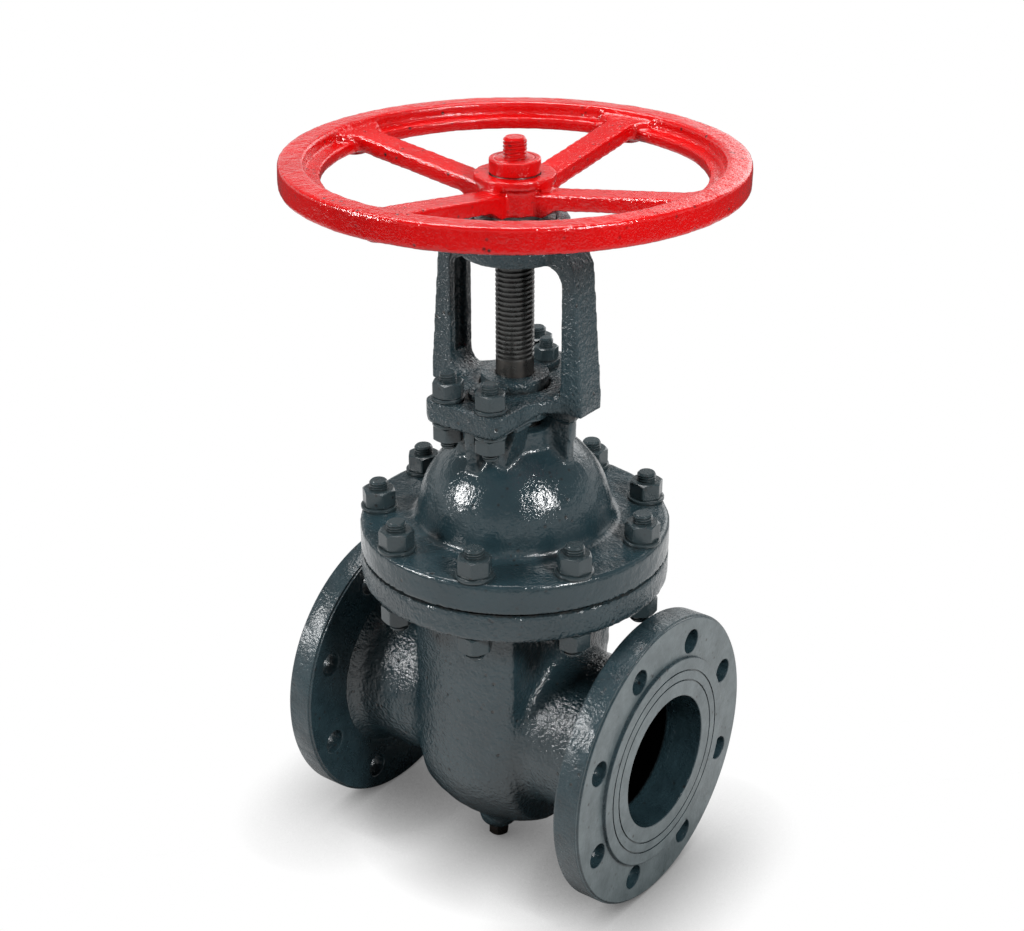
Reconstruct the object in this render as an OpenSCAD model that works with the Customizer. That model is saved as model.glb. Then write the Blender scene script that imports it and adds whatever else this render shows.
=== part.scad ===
// Flanged gate valve of cast steel with an outside screw and a yoke.
// Lengths are in millimetres. The origin is the centre of the inlet's raised face,
// +X runs along the flow and +Z runs up, parallel to the stem. The valve is shown closed.

/* [End flanges] */
// Distance between the two raised faces
face_to_face = 270; // [256:1:300]
// Outside diameter of an end flange
end_flange_d = 220; // [210:1:228]
// Thickness of an end flange without its raised face
end_flange_t = 21; // [16:0.5:26]
// Diameter of the raised face
raised_face_d = 158; // [148:1:160]
// Height of the raised face
raised_face_h = 3; // [2:0.5:4]
// Diameter of the port through the valve
port_d = 100; // [90:1:104]
// Diameter of the circle that the end flange's holes lie on
end_hole_circle_d = 180; // [178:1:190]
// Diameter of a hole in an end flange
end_hole_d = 18; // [14:0.5:19]
// Number of holes in an end flange
end_hole_count = 8; // [4:4:12]
// Middle diameter of the outer sealing groove
outer_groove_d = 139; // [132:1:144]
// Middle diameter of the inner sealing groove
inner_groove_d = 124; // [116:1:128]
// Width and depth of a sealing groove
groove_w = 1.2; // [0.6:0.1:2]

/* [Body casting] */
// Outside diameter of the pipe neck behind an end flange
neck_d = 120; // [118:1:130]
// Radius of the fillet between the neck and an end flange
neck_fillet_r = 12; // [6:1:16]
// Length of neck that stays on the gate chamber, up to where an end begins
neck_stub = 4; // [3:0.5:8]
// Width of the gate chamber along the flow
chamber_w = 90; // [84:1:100]
// Length of the gate chamber across the flow
chamber_l = 146; // [140:1:154]
// Drop of the chamber's rounded ends from middle to corner
chamber_crown = 11; // [6:1:14]
// Drop of the cavity's rounded ends from middle to corner
cavity_crown = 3; // [2:0.5:5]
// Radius on the corners of the chamber
chamber_corner_r = 7; // [3:1:10]
// Height of the bowl's centre above the flow axis
bowl_centre_z = -18; // [-21:1:-8]
// Thickness of the cast walls
cast_wall = 9; // [7:0.5:10]
// Diameter of the flanges between body and bonnet
joint_flange_d = 224; // [220:1:234]
// Height of the body flange's sealing face above the flow axis
joint_z = 138.5; // [134:0.5:146]
// Thickness of the body flange
body_flange_t = 21; // [18:0.5:24]
// Diameter of the drain boss where it leaves the bowl
drain_boss_d = 30; // [26:1:36]
// Diameter of the drain boss at its lower face
drain_face_d = 19; // [17.5:0.5:24]
// Distance of the drain boss in front of the stem axis
drain_shift = 21; // [14:1:24]
// Length of the drain boss below the bowl
drain_boss_h = 7; // [4:0.5:9]
// Size across the flats of the drain plug's head
drain_plug_af = 14; // [11:0.5:17]
// Height of the drain plug's head
drain_plug_h = 8; // [5:0.5:9]

/* [Bonnet] */
// Thickness of the gasket
gasket_t = 2; // [1.5:0.5:3]
// Distance that the gasket stands back from the flange edge
gasket_setback = 4; // [2:0.5:6]
// Thickness of the bonnet flange
bonnet_flange_t = 21.5; // [18:0.5:24]
// Outside radius of the dome
dome_r = 71; // [70:0.5:74]
// Height of the dome's centre above the bonnet flange
dome_rise = 0; // [0:0.5:4]
// Radius of the fillet round the foot of the dome
dome_fillet_r = 5; // [3:0.5:8]
// Diameter of the stuffing box
box_d = 66; // [60:1:68]
// Top of the stuffing box above the dome's centre
box_rise = 77; // [75:0.5:80]
// Underside of the yoke seat above the dome's centre
seat_rise = 87.5; // [85:0.5:92]
// Thickness of the bonnet's seat for the yoke
seat_t = 7; // [6:0.5:9]
// Thickness of a rib between two studs
tongue_rib_t = 11; // [8:0.5:12]
// Thickness of a rib under a leg of the yoke
leg_rib_t = 9; // [7:0.5:14]
// Reach of a leg's rib from the stem axis, at the yoke seat
leg_rib_reach = 51.5; // [48:0.5:58]
// Depth of the wall that carries a tongue, across the flow
corbel_t = 17; // [12:0.5:18]
// Width of that wall at its foot
corbel_foot_w = 34; // [28:1:44]

/* [Bonnet bolting] */
// Number of studs round the bonnet
bonnet_stud_count = 9; // [8:1:10]
// Distance from a bonnet stud's axis to the edge of the joint flanges
bonnet_stud_edge = 12.5; // [11:0.5:14]
// Diameter of a bonnet stud
bonnet_stud_d = 14; // [12:1:16]
// Size across the flats of a bonnet nut
bonnet_nut_af = 22; // [19:1:24]
// Height of a bonnet nut
bonnet_nut_h = 12.5; // [10:0.5:14]
// Diameter of a bonnet washer
bonnet_washer_d = 27; // [24:0.5:28]
// Thickness of a washer
washer_t = 2.5; // [1.5:0.5:3]
// Length of stud that stands out of a nut
stud_end = 6.5; // [3:0.5:8]

/* [Yoke] */
// Thickness of the yoke's base plate on the tongues
yoke_base_t = 9.5; // [7:0.5:11]
// Width of a bolted tongue along the flow
tongue_w = 66; // [60:1:72]
// Reach of a bolted tongue from the stem axis
tongue_reach = 65; // [62:0.5:70]
// Corner radius of a bolted tongue
tongue_corner_r = 10; // [6:0.5:12]
// Radius of the hollow curve between a tongue and a leg
saddle_r = 22; // [14:0.5:26]
// Distance between the two yoke studs of one tongue
yoke_stud_gap = 36; // [34:1:40]
// Distance from the stem axis to the yoke studs, across the flow
yoke_stud_y = 53; // [50:0.5:54]
// Diameter of a yoke stud
yoke_stud_d = 12; // [10:1:14]
// Size across the flats of a yoke nut
yoke_nut_af = 20; // [18:0.5:22]
// Diameter of a yoke washer
yoke_washer_d = 23; // [21:0.5:24]
// Height of a yoke nut
yoke_nut_h = 11; // [8:0.5:12]
// Outer distance between the legs at the base
leg_span_base = 129; // [125:1:134]
// Outer distance between the legs at the head
leg_span_head = 114; // [110:1:120]
// Distance between the legs' inner faces
window_w = 94; // [90:1:96]
// Width of a leg across the flow
leg_w = 25; // [22:1:30]
// Height of the window between base and head
window_h = 94.5; // [90:0.5:100]
// Corner radius of the window
window_corner_r = 13; // [8:1:16]
// Depth of the channel in a leg's inner face
channel_depth = 7; // [4:0.5:8]
// Width of the wall on each side of the channel
channel_wall = 6; // [5:0.5:8]
// Diameter of the yoke head
yoke_head_d = 75; // [70:1:80]
// Height of the yoke head
yoke_head_h = 25.5; // [22:0.5:26]

/* [Stem and gate] */
// Diameter of the stem
stem_d = 27; // [24:0.5:28]
// Diameter of the stub on top of the stem
stub_d = 16; // [13:0.5:18]
// Length of the stub on top of the stem
stub_h = 14; // [10:0.5:16]
// Diameter of the gate
gate_d = 114; // [110:1:116]
// Thickness of the gate at the flow axis
gate_t = 36; // [32:1:40]
// Slope of each gate face from upright, in degrees
gate_slope = 5; // [2:0.5:6]
// Width of a seat ring between its port and its rim
seat_ring_w = 8; // [6:0.5:9]
// Diameter of the gland
gland_d = 48; // [44:0.5:52]
// Height of the gland above the yoke base
gland_rise = 7; // [5:0.5:9]
// Thickness of the gland's two lugs
gland_lug_t = 4; // [3:0.5:5]
// Distance from the stem axis to a gland stud, across the flow
gland_stud_y = 38; // [37:0.5:39]
// Diameter of a gland stud
gland_stud_d = 10; // [8:1:11]
// Size across the flats of a gland nut
gland_nut_af = 16; // [15:0.5:17]
// Height of a gland nut
gland_nut_h = 9; // [7:0.5:10]

/* [Handwheel] */
// Outside diameter of the handwheel
wheel_d = 315; // [300:1:330]
// Top of the rim above the top of the hub
rim_rise = 11.5; // [8:0.5:14]
// Height of the rim
rim_h = 17.5; // [15:0.5:20]
// Width of the rim's flat top
rim_w = 17.5; // [14:0.5:20]
// Width of the ledge inside the rim
ledge_w = 7; // [5:0.5:9]
// Height of the ledge inside the rim
ledge_h = 8.5; // [6:0.5:10]
// Corner radius of the rim
rim_corner_r = 2; // [1.5:0.5:4]
// Number of spokes
spoke_count = 4; // [3:1:6]
// Turn of the first spoke from the flow axis, in degrees
spoke_turn = 0; // [-45:1:45]
// Width of a spoke at its narrowest
spoke_w = 21; // [18:1:28]
// Thickness of a spoke
spoke_h = 11; // [9:0.5:13]
// Drop of a spoke's top below the rim's top, where it meets the rim
spoke_drop = 3.5; // [2:0.5:6]
// Drop of a spoke's top below the hub's top, where it meets the hub
spoke_hub_drop = 8.5; // [7:0.5:10]
// Diameter of the pad under the rim at the end of a spoke
pad_d = 20; // [16:1:24]
// Height of the pad below the rim
pad_h = 3.5; // [2:0.5:5]
// Radius of the flare where a spoke meets the rim
spoke_flare_r = 10; // [8:1:16]
// Diameter of the hub
hub_d = 56; // [52:1:60]
// Thickness of the plate on top of the hub
hub_plate_t = 6; // [4:0.5:8]
// Diameter of the hub below its plate
hub_neck_d = 50; // [46:1:54]
// Gap between the hub and the yoke head
hub_gap = 5.5; // [5:0.5:8]
// Height of the hub
hub_h = 25; // [23:0.5:25.5]
// Diameter of the round nut on the hub
hub_nut_d = 35; // [34:0.5:38]
// Height of the round nut on the hub
hub_nut_h = 10; // [8:0.5:12]
// Diameter of the sleeve in the hub
sleeve_d = 34; // [33:0.5:36]

/* [Hidden] */
$fn = 96;

casting_colour = "#3a4650";
steel_colour = "#2c2c2b";
wheel_colour = "#c81418";

// Extra length that carries every cut past the surface it opens
overrun = 1;
// Play between a fastener and its hole, and between a nut and its thread
hole_play = 0.75;
thread_play = 0.1;
// Play of the stem in its guides and of the gate on its seats
stem_play = 0.05;
seat_play = 0.3;
// Chamfer on the rims of the flanges
rim_chamfer = 1.5;
// Turn that sets a nut's flats along the flow, in degrees
flat_turn = 30;

stem_x = face_to_face / 2;
flange_face_x = stem_x - raised_face_h;
neck_r = neck_d / 2;
neck_split_x = chamber_w / 2 + neck_stub;
chamber_half_w = chamber_w / 2;
chamber_half_l = chamber_l / 2;
cavity_half_w = chamber_half_w - cast_wall;
cavity_half_l = chamber_half_l - cast_wall;
body_flange_low_z = joint_z - body_flange_t;
bonnet_low_z = joint_z + gasket_t;
bonnet_stud_circle_d = joint_flange_d - 2 * bonnet_stud_edge;
bonnet_flange_top_z = bonnet_low_z + bonnet_flange_t;
dome_centre_z = bonnet_flange_top_z + dome_rise;
dome_inner_r = dome_r - cast_wall;
box_r = box_d / 2;
box_top_z = dome_centre_z + box_rise;
seat_z = dome_centre_z + seat_rise;
seat_top_z = seat_z + seat_t;
base_top_z = seat_top_z + yoke_base_t;
head_low_z = base_top_z + window_h;
head_top_z = head_low_z + yoke_head_h;
hub_low_z = head_top_z + hub_gap;
hub_top_z = hub_low_z + hub_h;
rim_top_z = hub_top_z + rim_rise;
hub_nut_top_z = hub_top_z + hub_nut_h;
stem_r = stem_d / 2;
guide_r = stem_r + stem_play;
gate_r = gate_d / 2;
wheel_r = wheel_d / 2;
bowl_low_z = bowl_centre_z - chamber_half_l;

// Lug on top of the gate that holds the foot of the stem
lug_h = 15;
lug_wall = 4;
lug_r = stem_d / 2 + lug_wall;
lug_top_z = gate_r + lug_h;
stem_foot_z = gate_r;

// Stuffing box bore round the packing and the gland
gland_lip = 3;
packing_floor_t = 6;
packing_h = 22;
gland_entry = 12;
packing_r = gland_d / 2 - gland_lip;
gland_neck_low_z = box_top_z - gland_entry;
packing_low_z = gland_neck_low_z - packing_h;
box_low_z = packing_low_z - packing_floor_t;
gland_neck_r = packing_r - stem_play;
gland_hole_r = gland_d / 2 + hole_play;
gland_flange_low_z = base_top_z - gland_lip;
gland_top_z = base_top_z + gland_rise;
gland_lug_low_z = base_top_z + hole_play;
gland_lug_top_z = gland_lug_low_z + gland_lug_t;
gland_lug_r = gland_nut_af / sqrt(3) + hole_play;

// Sleeve flange held in the yoke head, and the ring that holds it down
sleeve_flange_w = 8;
sleeve_flange_h = 9;
sleeve_ring_lip = 3;
sleeve_ring_h = 6;
sleeve_thread_step = 1.5;
sleeve_r = sleeve_d / 2;
sleeve_flange_r = sleeve_r + sleeve_flange_w;
sleeve_ring_r = sleeve_flange_r + sleeve_ring_lip;
sleeve_low_z = head_low_z;
sleeve_flange_low_z = head_top_z - sleeve_ring_h - sleeve_flange_h;
sleeve_thread_r = sleeve_r - sleeve_thread_step;
sleeve_thread_share = 0.8;
sleeve_thread_h = hub_nut_h * sleeve_thread_share;

// Rim and spokes: a spoke's top falls from the rim to the hub
rim_inner_r = wheel_r - rim_w;
ledge_inner_r = rim_inner_r - ledge_w;
spoke_rim_z = rim_top_z - spoke_drop;
spoke_hub_z = hub_top_z - spoke_hub_drop;
spoke_rise_share = (spoke_rim_z - spoke_hub_z) / (rim_inner_r - hub_d / 2);
function spoke_top_z(r) = spoke_rim_z - (rim_inner_r - r) * spoke_rise_share;

// Moves children to the stem axis
module at_stem() {
    translate([stem_x, 0, 0]) children();
}

// Turns a revolved shape so that its axis lies along the flow
module along_flow() {
    rotate([0, 90, 0]) children();
}

// Draws children at both ends of the valve, mirrored about the stem axis
module both_ends() {
    children();
    mirror([1, 0, 0]) children();
}

// Draws children at the places of the bonnet studs
module at_bonnet_studs() {
    for (i = [0 : bonnet_stud_count - 1])
        rotate([0, 0, 90 + i * 360 / bonnet_stud_count])
            translate([bonnet_stud_circle_d / 2, 0, 0]) children();
}

// Draws children at the places of the four yoke studs
module at_yoke_studs() {
    for (side_x = [-1, 1])
        for (side_y = [-1, 1])
            translate([side_x * yoke_stud_gap / 2, side_y * yoke_stud_y, 0]) children();
}

// Draws children at the places of the two gland studs
module at_gland_studs() {
    for (side_y = [-1, 1])
        translate([0, side_y * gland_stud_y, 0]) children();
}

// Rectangle with round corners, centred
module rounded_rect(size, r) {
    square([size[0], size[1] - 2 * r], center = true);
    square([size[0] - 2 * r, size[1]], center = true);
    for (side_x = [-1, 1])
        for (side_y = [-1, 1])
            translate([side_x * (size[0] / 2 - r), side_y * (size[1] / 2 - r)]) circle(r);
}

// Hexagon nut or head of a size across its flats, with crowned corners
module hex_nut(af, h) {
    corner_r = af / sqrt(3);
    crown_share = 0.12;
    intersection() {
        cylinder(r = corner_r, h = h, $fn = 6);
        union() {
            cylinder(r1 = corner_r, r2 = corner_r, h = h * (1 - crown_share));
            translate([0, 0, h * (1 - crown_share)])
                cylinder(r1 = corner_r, r2 = af / 2, h = h * crown_share);
        }
    }
}

// Nut with its threaded hole
module bored_nut(af, h, bore_d) {
    difference() {
        hex_nut(af, h);
        translate([0, 0, -overrun])
            cylinder(d = bore_d + 2 * thread_play, h = h + 2 * overrun);
    }
}

module washer(d, bore_d) {
    difference() {
        cylinder(d = d, h = washer_t);
        translate([0, 0, -overrun])
            cylinder(d = bore_d + 2 * hole_play, h = washer_t + 2 * overrun);
    }
}

// Plan of the gate chamber: straight sides and crowned ends
module chamber_plan(half_w, half_l, crown) {
    crown_r = (half_w * half_w + crown * crown) / (2 * crown);
    intersection() {
        rounded_rect([2 * half_w, 2 * half_l], chamber_corner_r);
        translate([0, half_l - crown_r]) circle(crown_r);
        translate([0, crown_r - half_l]) circle(crown_r);
    }
}

// Gate chamber: the plan carried straight up from a bowl that is revolved about the flow
module chamber(half_w, half_l, crown, top_z) {
    translate([0, 0, bowl_centre_z]) {
        linear_extrude(top_z - bowl_centre_z) chamber_plan(half_w, half_l, crown);
        rotate([0, 90, 0])
            rotate_extrude()
                rotate(-90)
                    intersection() {
                        chamber_plan(half_w, half_l, crown);
                        translate([-half_w - overrun, 0])
                            square([2 * (half_w + overrun), half_l + overrun]);
                    }
    }
}

// Section of an end flange and its neck, with the flow along the second axis
module end_section() {
    difference() {
        union() {
            translate([0, neck_split_x]) square([neck_r, flange_face_x - neck_split_x]);
            translate([0, flange_face_x - end_flange_t])
                square([end_flange_d / 2 - rim_chamfer, end_flange_t]);
            translate([0, flange_face_x - end_flange_t + rim_chamfer])
                square([end_flange_d / 2, end_flange_t - 2 * rim_chamfer]);
            translate([0, flange_face_x - overrun])
                square([raised_face_d / 2, raised_face_h + overrun]);
            translate([0, flange_face_x - end_flange_t - neck_fillet_r])
                square([neck_r + neck_fillet_r, neck_fillet_r + overrun]);
        }
        translate([neck_r + neck_fillet_r, flange_face_x - end_flange_t - neck_fillet_r])
            circle(neck_fillet_r);
        for (d = [outer_groove_d, inner_groove_d])
            translate([d / 2 - groove_w / 2, stem_x - groove_w])
                square([groove_w, groove_w + overrun]);
    }
}

// One end of the body casting: a flange with its neck
module body_end() {
    difference() {
        along_flow() rotate_extrude() end_section();
        along_flow() cylinder(d = port_d, h = stem_x + overrun);
        for (i = [0 : end_hole_count - 1])
            rotate([(i + 0.5) * 360 / end_hole_count, 0, 0])
                translate([flange_face_x - end_flange_t - overrun, 0, end_hole_circle_d / 2])
                    along_flow()
                        cylinder(d = end_hole_d, h = end_flange_t + 2 * overrun);
    }
}

module inlet_end() {
    color(casting_colour) at_stem() mirror([1, 0, 0]) body_end();
}

module outlet_end() {
    color(casting_colour) at_stem() body_end();
}

module valve_body() {
    color(casting_colour) at_stem() difference() {
        union() {
            translate([-neck_split_x, 0, 0])
                along_flow() cylinder(d = neck_d, h = 2 * neck_split_x);
            chamber(chamber_half_w, chamber_half_l, chamber_crown, joint_z - overrun);
            translate([0, 0, body_flange_low_z + rim_chamfer])
                cylinder(d = joint_flange_d, h = body_flange_t - rim_chamfer);
            translate([0, 0, body_flange_low_z])
                cylinder(d1 = joint_flange_d - 2 * rim_chamfer, d2 = joint_flange_d, h = rim_chamfer);
            translate([0, -drain_shift, bowl_low_z - drain_boss_h])
                cylinder(d1 = drain_face_d, d2 = drain_boss_d, h = drain_boss_h);
            translate([0, -drain_shift, bowl_low_z])
                cylinder(d = drain_boss_d, h = 2 * cast_wall);
        }
        chamber(cavity_half_w, cavity_half_l, cavity_crown, joint_z + overrun);
        translate([-stem_x - overrun, 0, 0])
            along_flow() cylinder(d = port_d, h = face_to_face + 2 * overrun);
        at_bonnet_studs()
            translate([0, 0, body_flange_low_z - overrun])
                cylinder(d = bonnet_stud_d + 2 * hole_play, h = body_flange_t + 2 * overrun);
        both_ends() seat_pocket();
    }
}

// Room for a seat ring in the chamber wall
module seat_pocket() {
    translate([cavity_half_w - overrun, 0, 0])
        along_flow() cylinder(r = port_d / 2 + seat_ring_w, h = overrun + cast_wall / 2);
}

// Half thickness of the gate at a height, with room for play
function gate_half_t(z, play) = gate_t / 2 + z * tan(gate_slope) + play;

// Upright wedge that the gate and the seats share
module wedge(low_z, top_z, play) {
    rotate([90, 0, 0])
        linear_extrude(gate_d + 2 * overrun, center = true)
            polygon([
                [-gate_half_t(low_z, play), low_z],
                [gate_half_t(low_z, play), low_z],
                [gate_half_t(top_z, play), top_z],
                [-gate_half_t(top_z, play), top_z]
            ]);
}

module seat_ring() {
    ring_r = port_d / 2 + seat_ring_w;
    difference() {
        along_flow() cylinder(r = ring_r, h = cavity_half_w + cast_wall / 2);
        translate([-overrun, 0, 0])
            along_flow() cylinder(d = port_d, h = chamber_w);
        wedge(-ring_r - overrun, ring_r + overrun, seat_play);
    }
}

module inlet_seat_ring() {
    color(steel_colour) at_stem() mirror([1, 0, 0]) seat_ring();
}

module outlet_seat_ring() {
    color(steel_colour) at_stem() seat_ring();
}

module wedge_gate() {
    color(casting_colour) at_stem() difference() {
        union() {
            intersection() {
                translate([-chamber_half_w, 0, 0])
                    along_flow() cylinder(r = gate_r, h = chamber_w);
                wedge(-gate_r - overrun, gate_r + overrun, 0);
            }
            cylinder(r = lug_r, h = lug_top_z);
        }
        translate([0, 0, stem_foot_z]) cylinder(r = guide_r, h = lug_h + overrun);
    }
}

module stem() {
    color(steel_colour) at_stem() {
        translate([0, 0, stem_foot_z]) cylinder(r = stem_r, h = hub_nut_top_z - stem_foot_z);
        translate([0, 0, hub_nut_top_z]) cylinder(d = stub_d, h = stub_h);
    }
}

module drain_plug() {
    color(steel_colour) at_stem()
        translate([0, -drain_shift, bowl_low_z - drain_boss_h]) mirror([0, 0, 1])
            hex_nut(drain_plug_af, drain_plug_h);
}

module bonnet_gasket() {
    color(steel_colour) at_stem() translate([0, 0, joint_z]) difference() {
        cylinder(d = joint_flange_d - 2 * gasket_setback, h = gasket_t);
        translate([0, 0, -overrun]) cylinder(r = dome_r, h = gasket_t + 2 * overrun);
        at_bonnet_studs()
            translate([0, 0, -overrun])
                cylinder(d = bonnet_stud_d + 2 * hole_play, h = gasket_t + 2 * overrun);
    }
}

// Half section of the bonnet's flange and dome
module bonnet_section() {
    difference() {
        union() {
            translate([0, bonnet_low_z])
                square([joint_flange_d / 2, bonnet_flange_t - rim_chamfer]);
            translate([0, bonnet_low_z])
                square([joint_flange_d / 2 - rim_chamfer, bonnet_flange_t]);
            translate([0, dome_centre_z]) intersection() {
                circle(dome_r);
                translate([0, -dome_rise - overrun]) square(2 * dome_r);
            }
            translate([0, bonnet_flange_top_z])
                square([dome_r + dome_fillet_r, dome_fillet_r]);
            translate([0, dome_centre_z]) square([box_r, box_rise]);
        }
        translate([dome_r + dome_fillet_r, bonnet_flange_top_z + dome_fillet_r])
            circle(dome_fillet_r);
        difference() {
            union() {
                translate([0, dome_centre_z]) circle(dome_inner_r);
                translate([0, bonnet_low_z - overrun])
                    square([dome_inner_r, dome_centre_z - bonnet_low_z + overrun]);
            }
            translate([0, box_low_z]) square([box_r, box_top_z - box_low_z]);
        }
        square([guide_r + hole_play, box_top_z + overrun]);
        translate([0, packing_low_z]) square([packing_r, box_top_z]);
    }
}

// Plan of the yoke seat: two bolted tongues across the flow and two arms along it,
// joined by hollow curves
module saddle_plan() {
    rounded_rect([tongue_w, 2 * tongue_reach], tongue_corner_r);
    square([leg_span_base, leg_w], center = true);
    for (side_x = [-1, 1])
        for (side_y = [-1, 1])
            scale([side_x, side_y]) difference() {
                square([tongue_w / 2 + saddle_r, leg_w / 2 + saddle_r]);
                translate([tongue_w / 2 + saddle_r, leg_w / 2 + saddle_r]) circle(saddle_r);
            }
}

module bonnet() {
    color(casting_colour) at_stem() difference() {
        union() {
            rotate_extrude() bonnet_section();
            difference() {
                union() {
                    translate([0, 0, seat_z]) linear_extrude(seat_t) saddle_plan();
                    tongue_ribs();
                    leg_ribs();
                    corbels();
                }
                translate([0, 0, dome_centre_z]) sphere(dome_inner_r + overrun);
                translate([0, 0, dome_centre_z])
                    cylinder(r = gland_hole_r, h = seat_top_z - dome_centre_z + overrun);
            }
        }
        at_bonnet_studs()
            translate([0, 0, bonnet_low_z - overrun])
                cylinder(d = bonnet_stud_d + 2 * hole_play, h = bonnet_flange_t + 2 * overrun);
        at_yoke_studs()
            translate([0, 0, seat_z - overrun])
                cylinder(d = yoke_stud_d + 2 * hole_play, h = seat_t + 2 * overrun);
        at_gland_studs()
            translate([0, 0, seat_z])
                cylinder(d = gland_stud_d + 2 * thread_play, h = seat_t + overrun);
    }
}

// Upright plate across the stem axis, widening from the dome up to the yoke seat
module flared_plate(foot_half_w, top_half_w, t) {
    foot_height_share = 0.6;
    foot_z = dome_centre_z + foot_height_share * dome_r;
    rotate([90, 0, 0])
        linear_extrude(t, center = true)
            polygon([
                [-foot_half_w, foot_z],
                [foot_half_w, foot_z],
                [top_half_w, seat_z + seat_t / 2],
                [-top_half_w, seat_z + seat_t / 2]
            ]);
}

// Ribs between the two studs of each tongue
module tongue_ribs() {
    foot_reach_share = 0.68;
    top_reach_share = 0.87;
    rotate([0, 0, 90])
        flared_plate(foot_reach_share * dome_r, top_reach_share * tongue_reach, tongue_rib_t);
}

// Ribs under the two legs of the yoke
module leg_ribs() {
    foot_reach_share = 0.655;
    flared_plate(foot_reach_share * dome_r, leg_rib_reach, leg_rib_t);
}

// Walls that carry the tongues, behind the studs
module corbels() {
    outer_y = yoke_stud_y - yoke_nut_af / sqrt(3) - hole_play;
    top_half_w = tongue_w / 2 - hole_play;
    for (side_y = [-1, 1])
        translate([0, side_y * (outer_y - corbel_t / 2), 0])
            flared_plate(corbel_foot_w / 2, top_half_w, corbel_t);
}

module bonnet_studs() {
    below = washer_t + bonnet_nut_h + stud_end;
    grip = bonnet_flange_top_z - body_flange_low_z;
    color(steel_colour) at_stem() at_bonnet_studs()
        translate([0, 0, body_flange_low_z - bonnet_nut_h - stud_end])
            cylinder(d = bonnet_stud_d, h = grip + below + bonnet_nut_h + stud_end);
}

module bonnet_washers() {
    color(steel_colour) at_stem() at_bonnet_studs()
        translate([0, 0, bonnet_flange_top_z]) washer(bonnet_washer_d, bonnet_stud_d);
}

module bonnet_upper_nuts() {
    color(steel_colour) at_stem() at_bonnet_studs()
        translate([0, 0, bonnet_flange_top_z + washer_t])
            bored_nut(bonnet_nut_af, bonnet_nut_h, bonnet_stud_d);
}

module bonnet_lower_nuts() {
    color(steel_colour) at_stem() at_bonnet_studs()
        translate([0, 0, body_flange_low_z]) mirror([0, 0, 1])
            bored_nut(bonnet_nut_af, bonnet_nut_h, bonnet_stud_d);
}

module packing() {
    color(steel_colour) at_stem() difference() {
        translate([0, 0, packing_low_z])
            cylinder(r = packing_r, h = gland_neck_low_z - packing_low_z);
        cylinder(r = guide_r, h = box_top_z);
    }
}

module gland() {
    color(casting_colour) at_stem() difference() {
        union() {
            translate([0, 0, gland_neck_low_z])
                cylinder(r = gland_neck_r, h = gland_top_z - gland_neck_low_z);
            translate([0, 0, gland_flange_low_z])
                cylinder(d = gland_d, h = gland_top_z - gland_flange_low_z);
            translate([0, 0, gland_lug_low_z]) linear_extrude(gland_lug_t) gland_lugs();
        }
        cylinder(r = guide_r, h = gland_top_z + overrun);
        at_gland_studs()
            translate([0, 0, gland_lug_low_z - overrun])
                cylinder(d = gland_stud_d + 2 * hole_play, h = gland_lug_t + 2 * overrun);
    }
}

// Plan of the two lugs that the gland's nuts press on
module gland_lugs() {
    square([2 * gland_lug_r, 2 * gland_stud_y], center = true);
    at_gland_studs() circle(gland_lug_r);
}

module gland_studs() {
    color(steel_colour) at_stem() at_gland_studs()
        translate([0, 0, seat_z])
            cylinder(d = gland_stud_d, h = gland_lug_top_z + gland_nut_h + stud_end - seat_z);
}

module gland_nuts() {
    color(steel_colour) at_stem() at_gland_studs()
        translate([0, 0, gland_lug_top_z])
            rotate(flat_turn) bored_nut(gland_nut_af, gland_nut_h, gland_stud_d);
}

// Front view of the yoke: two leaning legs under a cross-piece, round an open window
module yoke_frame() {
    difference() {
        polygon([
            [-leg_span_base / 2, seat_top_z],
            [leg_span_base / 2, seat_top_z],
            [leg_span_base / 2, base_top_z],
            [leg_span_head / 2, head_low_z],
            [leg_span_head / 2 - window_corner_r, head_top_z],
            [window_corner_r - leg_span_head / 2, head_top_z],
            [-leg_span_head / 2, head_low_z],
            [-leg_span_base / 2, base_top_z]
        ]);
        translate([0, base_top_z + window_h / 2])
            rounded_rect([window_w, window_h], window_corner_r);
    }
}

// Recess along a leg's inner face
module leg_channel() {
    translate([window_w / 2 - overrun, channel_wall - leg_w / 2, base_top_z + window_corner_r])
        cube([channel_depth + overrun, leg_w - 2 * channel_wall, window_h - 2 * window_corner_r]);
}

module yoke() {
    color(casting_colour) at_stem() difference() {
        union() {
            rotate([90, 0, 0]) linear_extrude(leg_w, center = true) yoke_frame();
            translate([0, 0, seat_top_z]) linear_extrude(yoke_base_t) saddle_plan();
            translate([0, 0, head_low_z]) cylinder(d = yoke_head_d, h = yoke_head_h);
        }
        translate([0, 0, seat_top_z - overrun])
            cylinder(r = gland_hole_r, h = yoke_base_t + 2 * overrun);
        both_ends() leg_channel();
        at_gland_studs()
            translate([0, 0, seat_top_z - overrun])
                cylinder(d = gland_stud_d + 2 * thread_play, h = yoke_base_t + 2 * overrun);
        at_yoke_studs()
            translate([0, 0, seat_top_z - overrun])
                cylinder(d = yoke_stud_d + 2 * hole_play, h = yoke_base_t + 2 * overrun);
        translate([0, 0, head_low_z - overrun])
            cylinder(r = sleeve_r + seat_play, h = yoke_head_h + 2 * overrun);
        translate([0, 0, sleeve_flange_low_z - seat_play])
            cylinder(r = sleeve_flange_r + seat_play, h = yoke_head_h);
        translate([0, 0, head_top_z - sleeve_ring_h])
            cylinder(r = sleeve_ring_r, h = sleeve_ring_h + overrun);
    }
}

module yoke_studs() {
    beyond_seat = washer_t + yoke_nut_h + stud_end;
    color(steel_colour) at_stem() at_yoke_studs()
        translate([0, 0, seat_z - beyond_seat])
            cylinder(d = yoke_stud_d, h = base_top_z - seat_z + 2 * beyond_seat);
}

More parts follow.
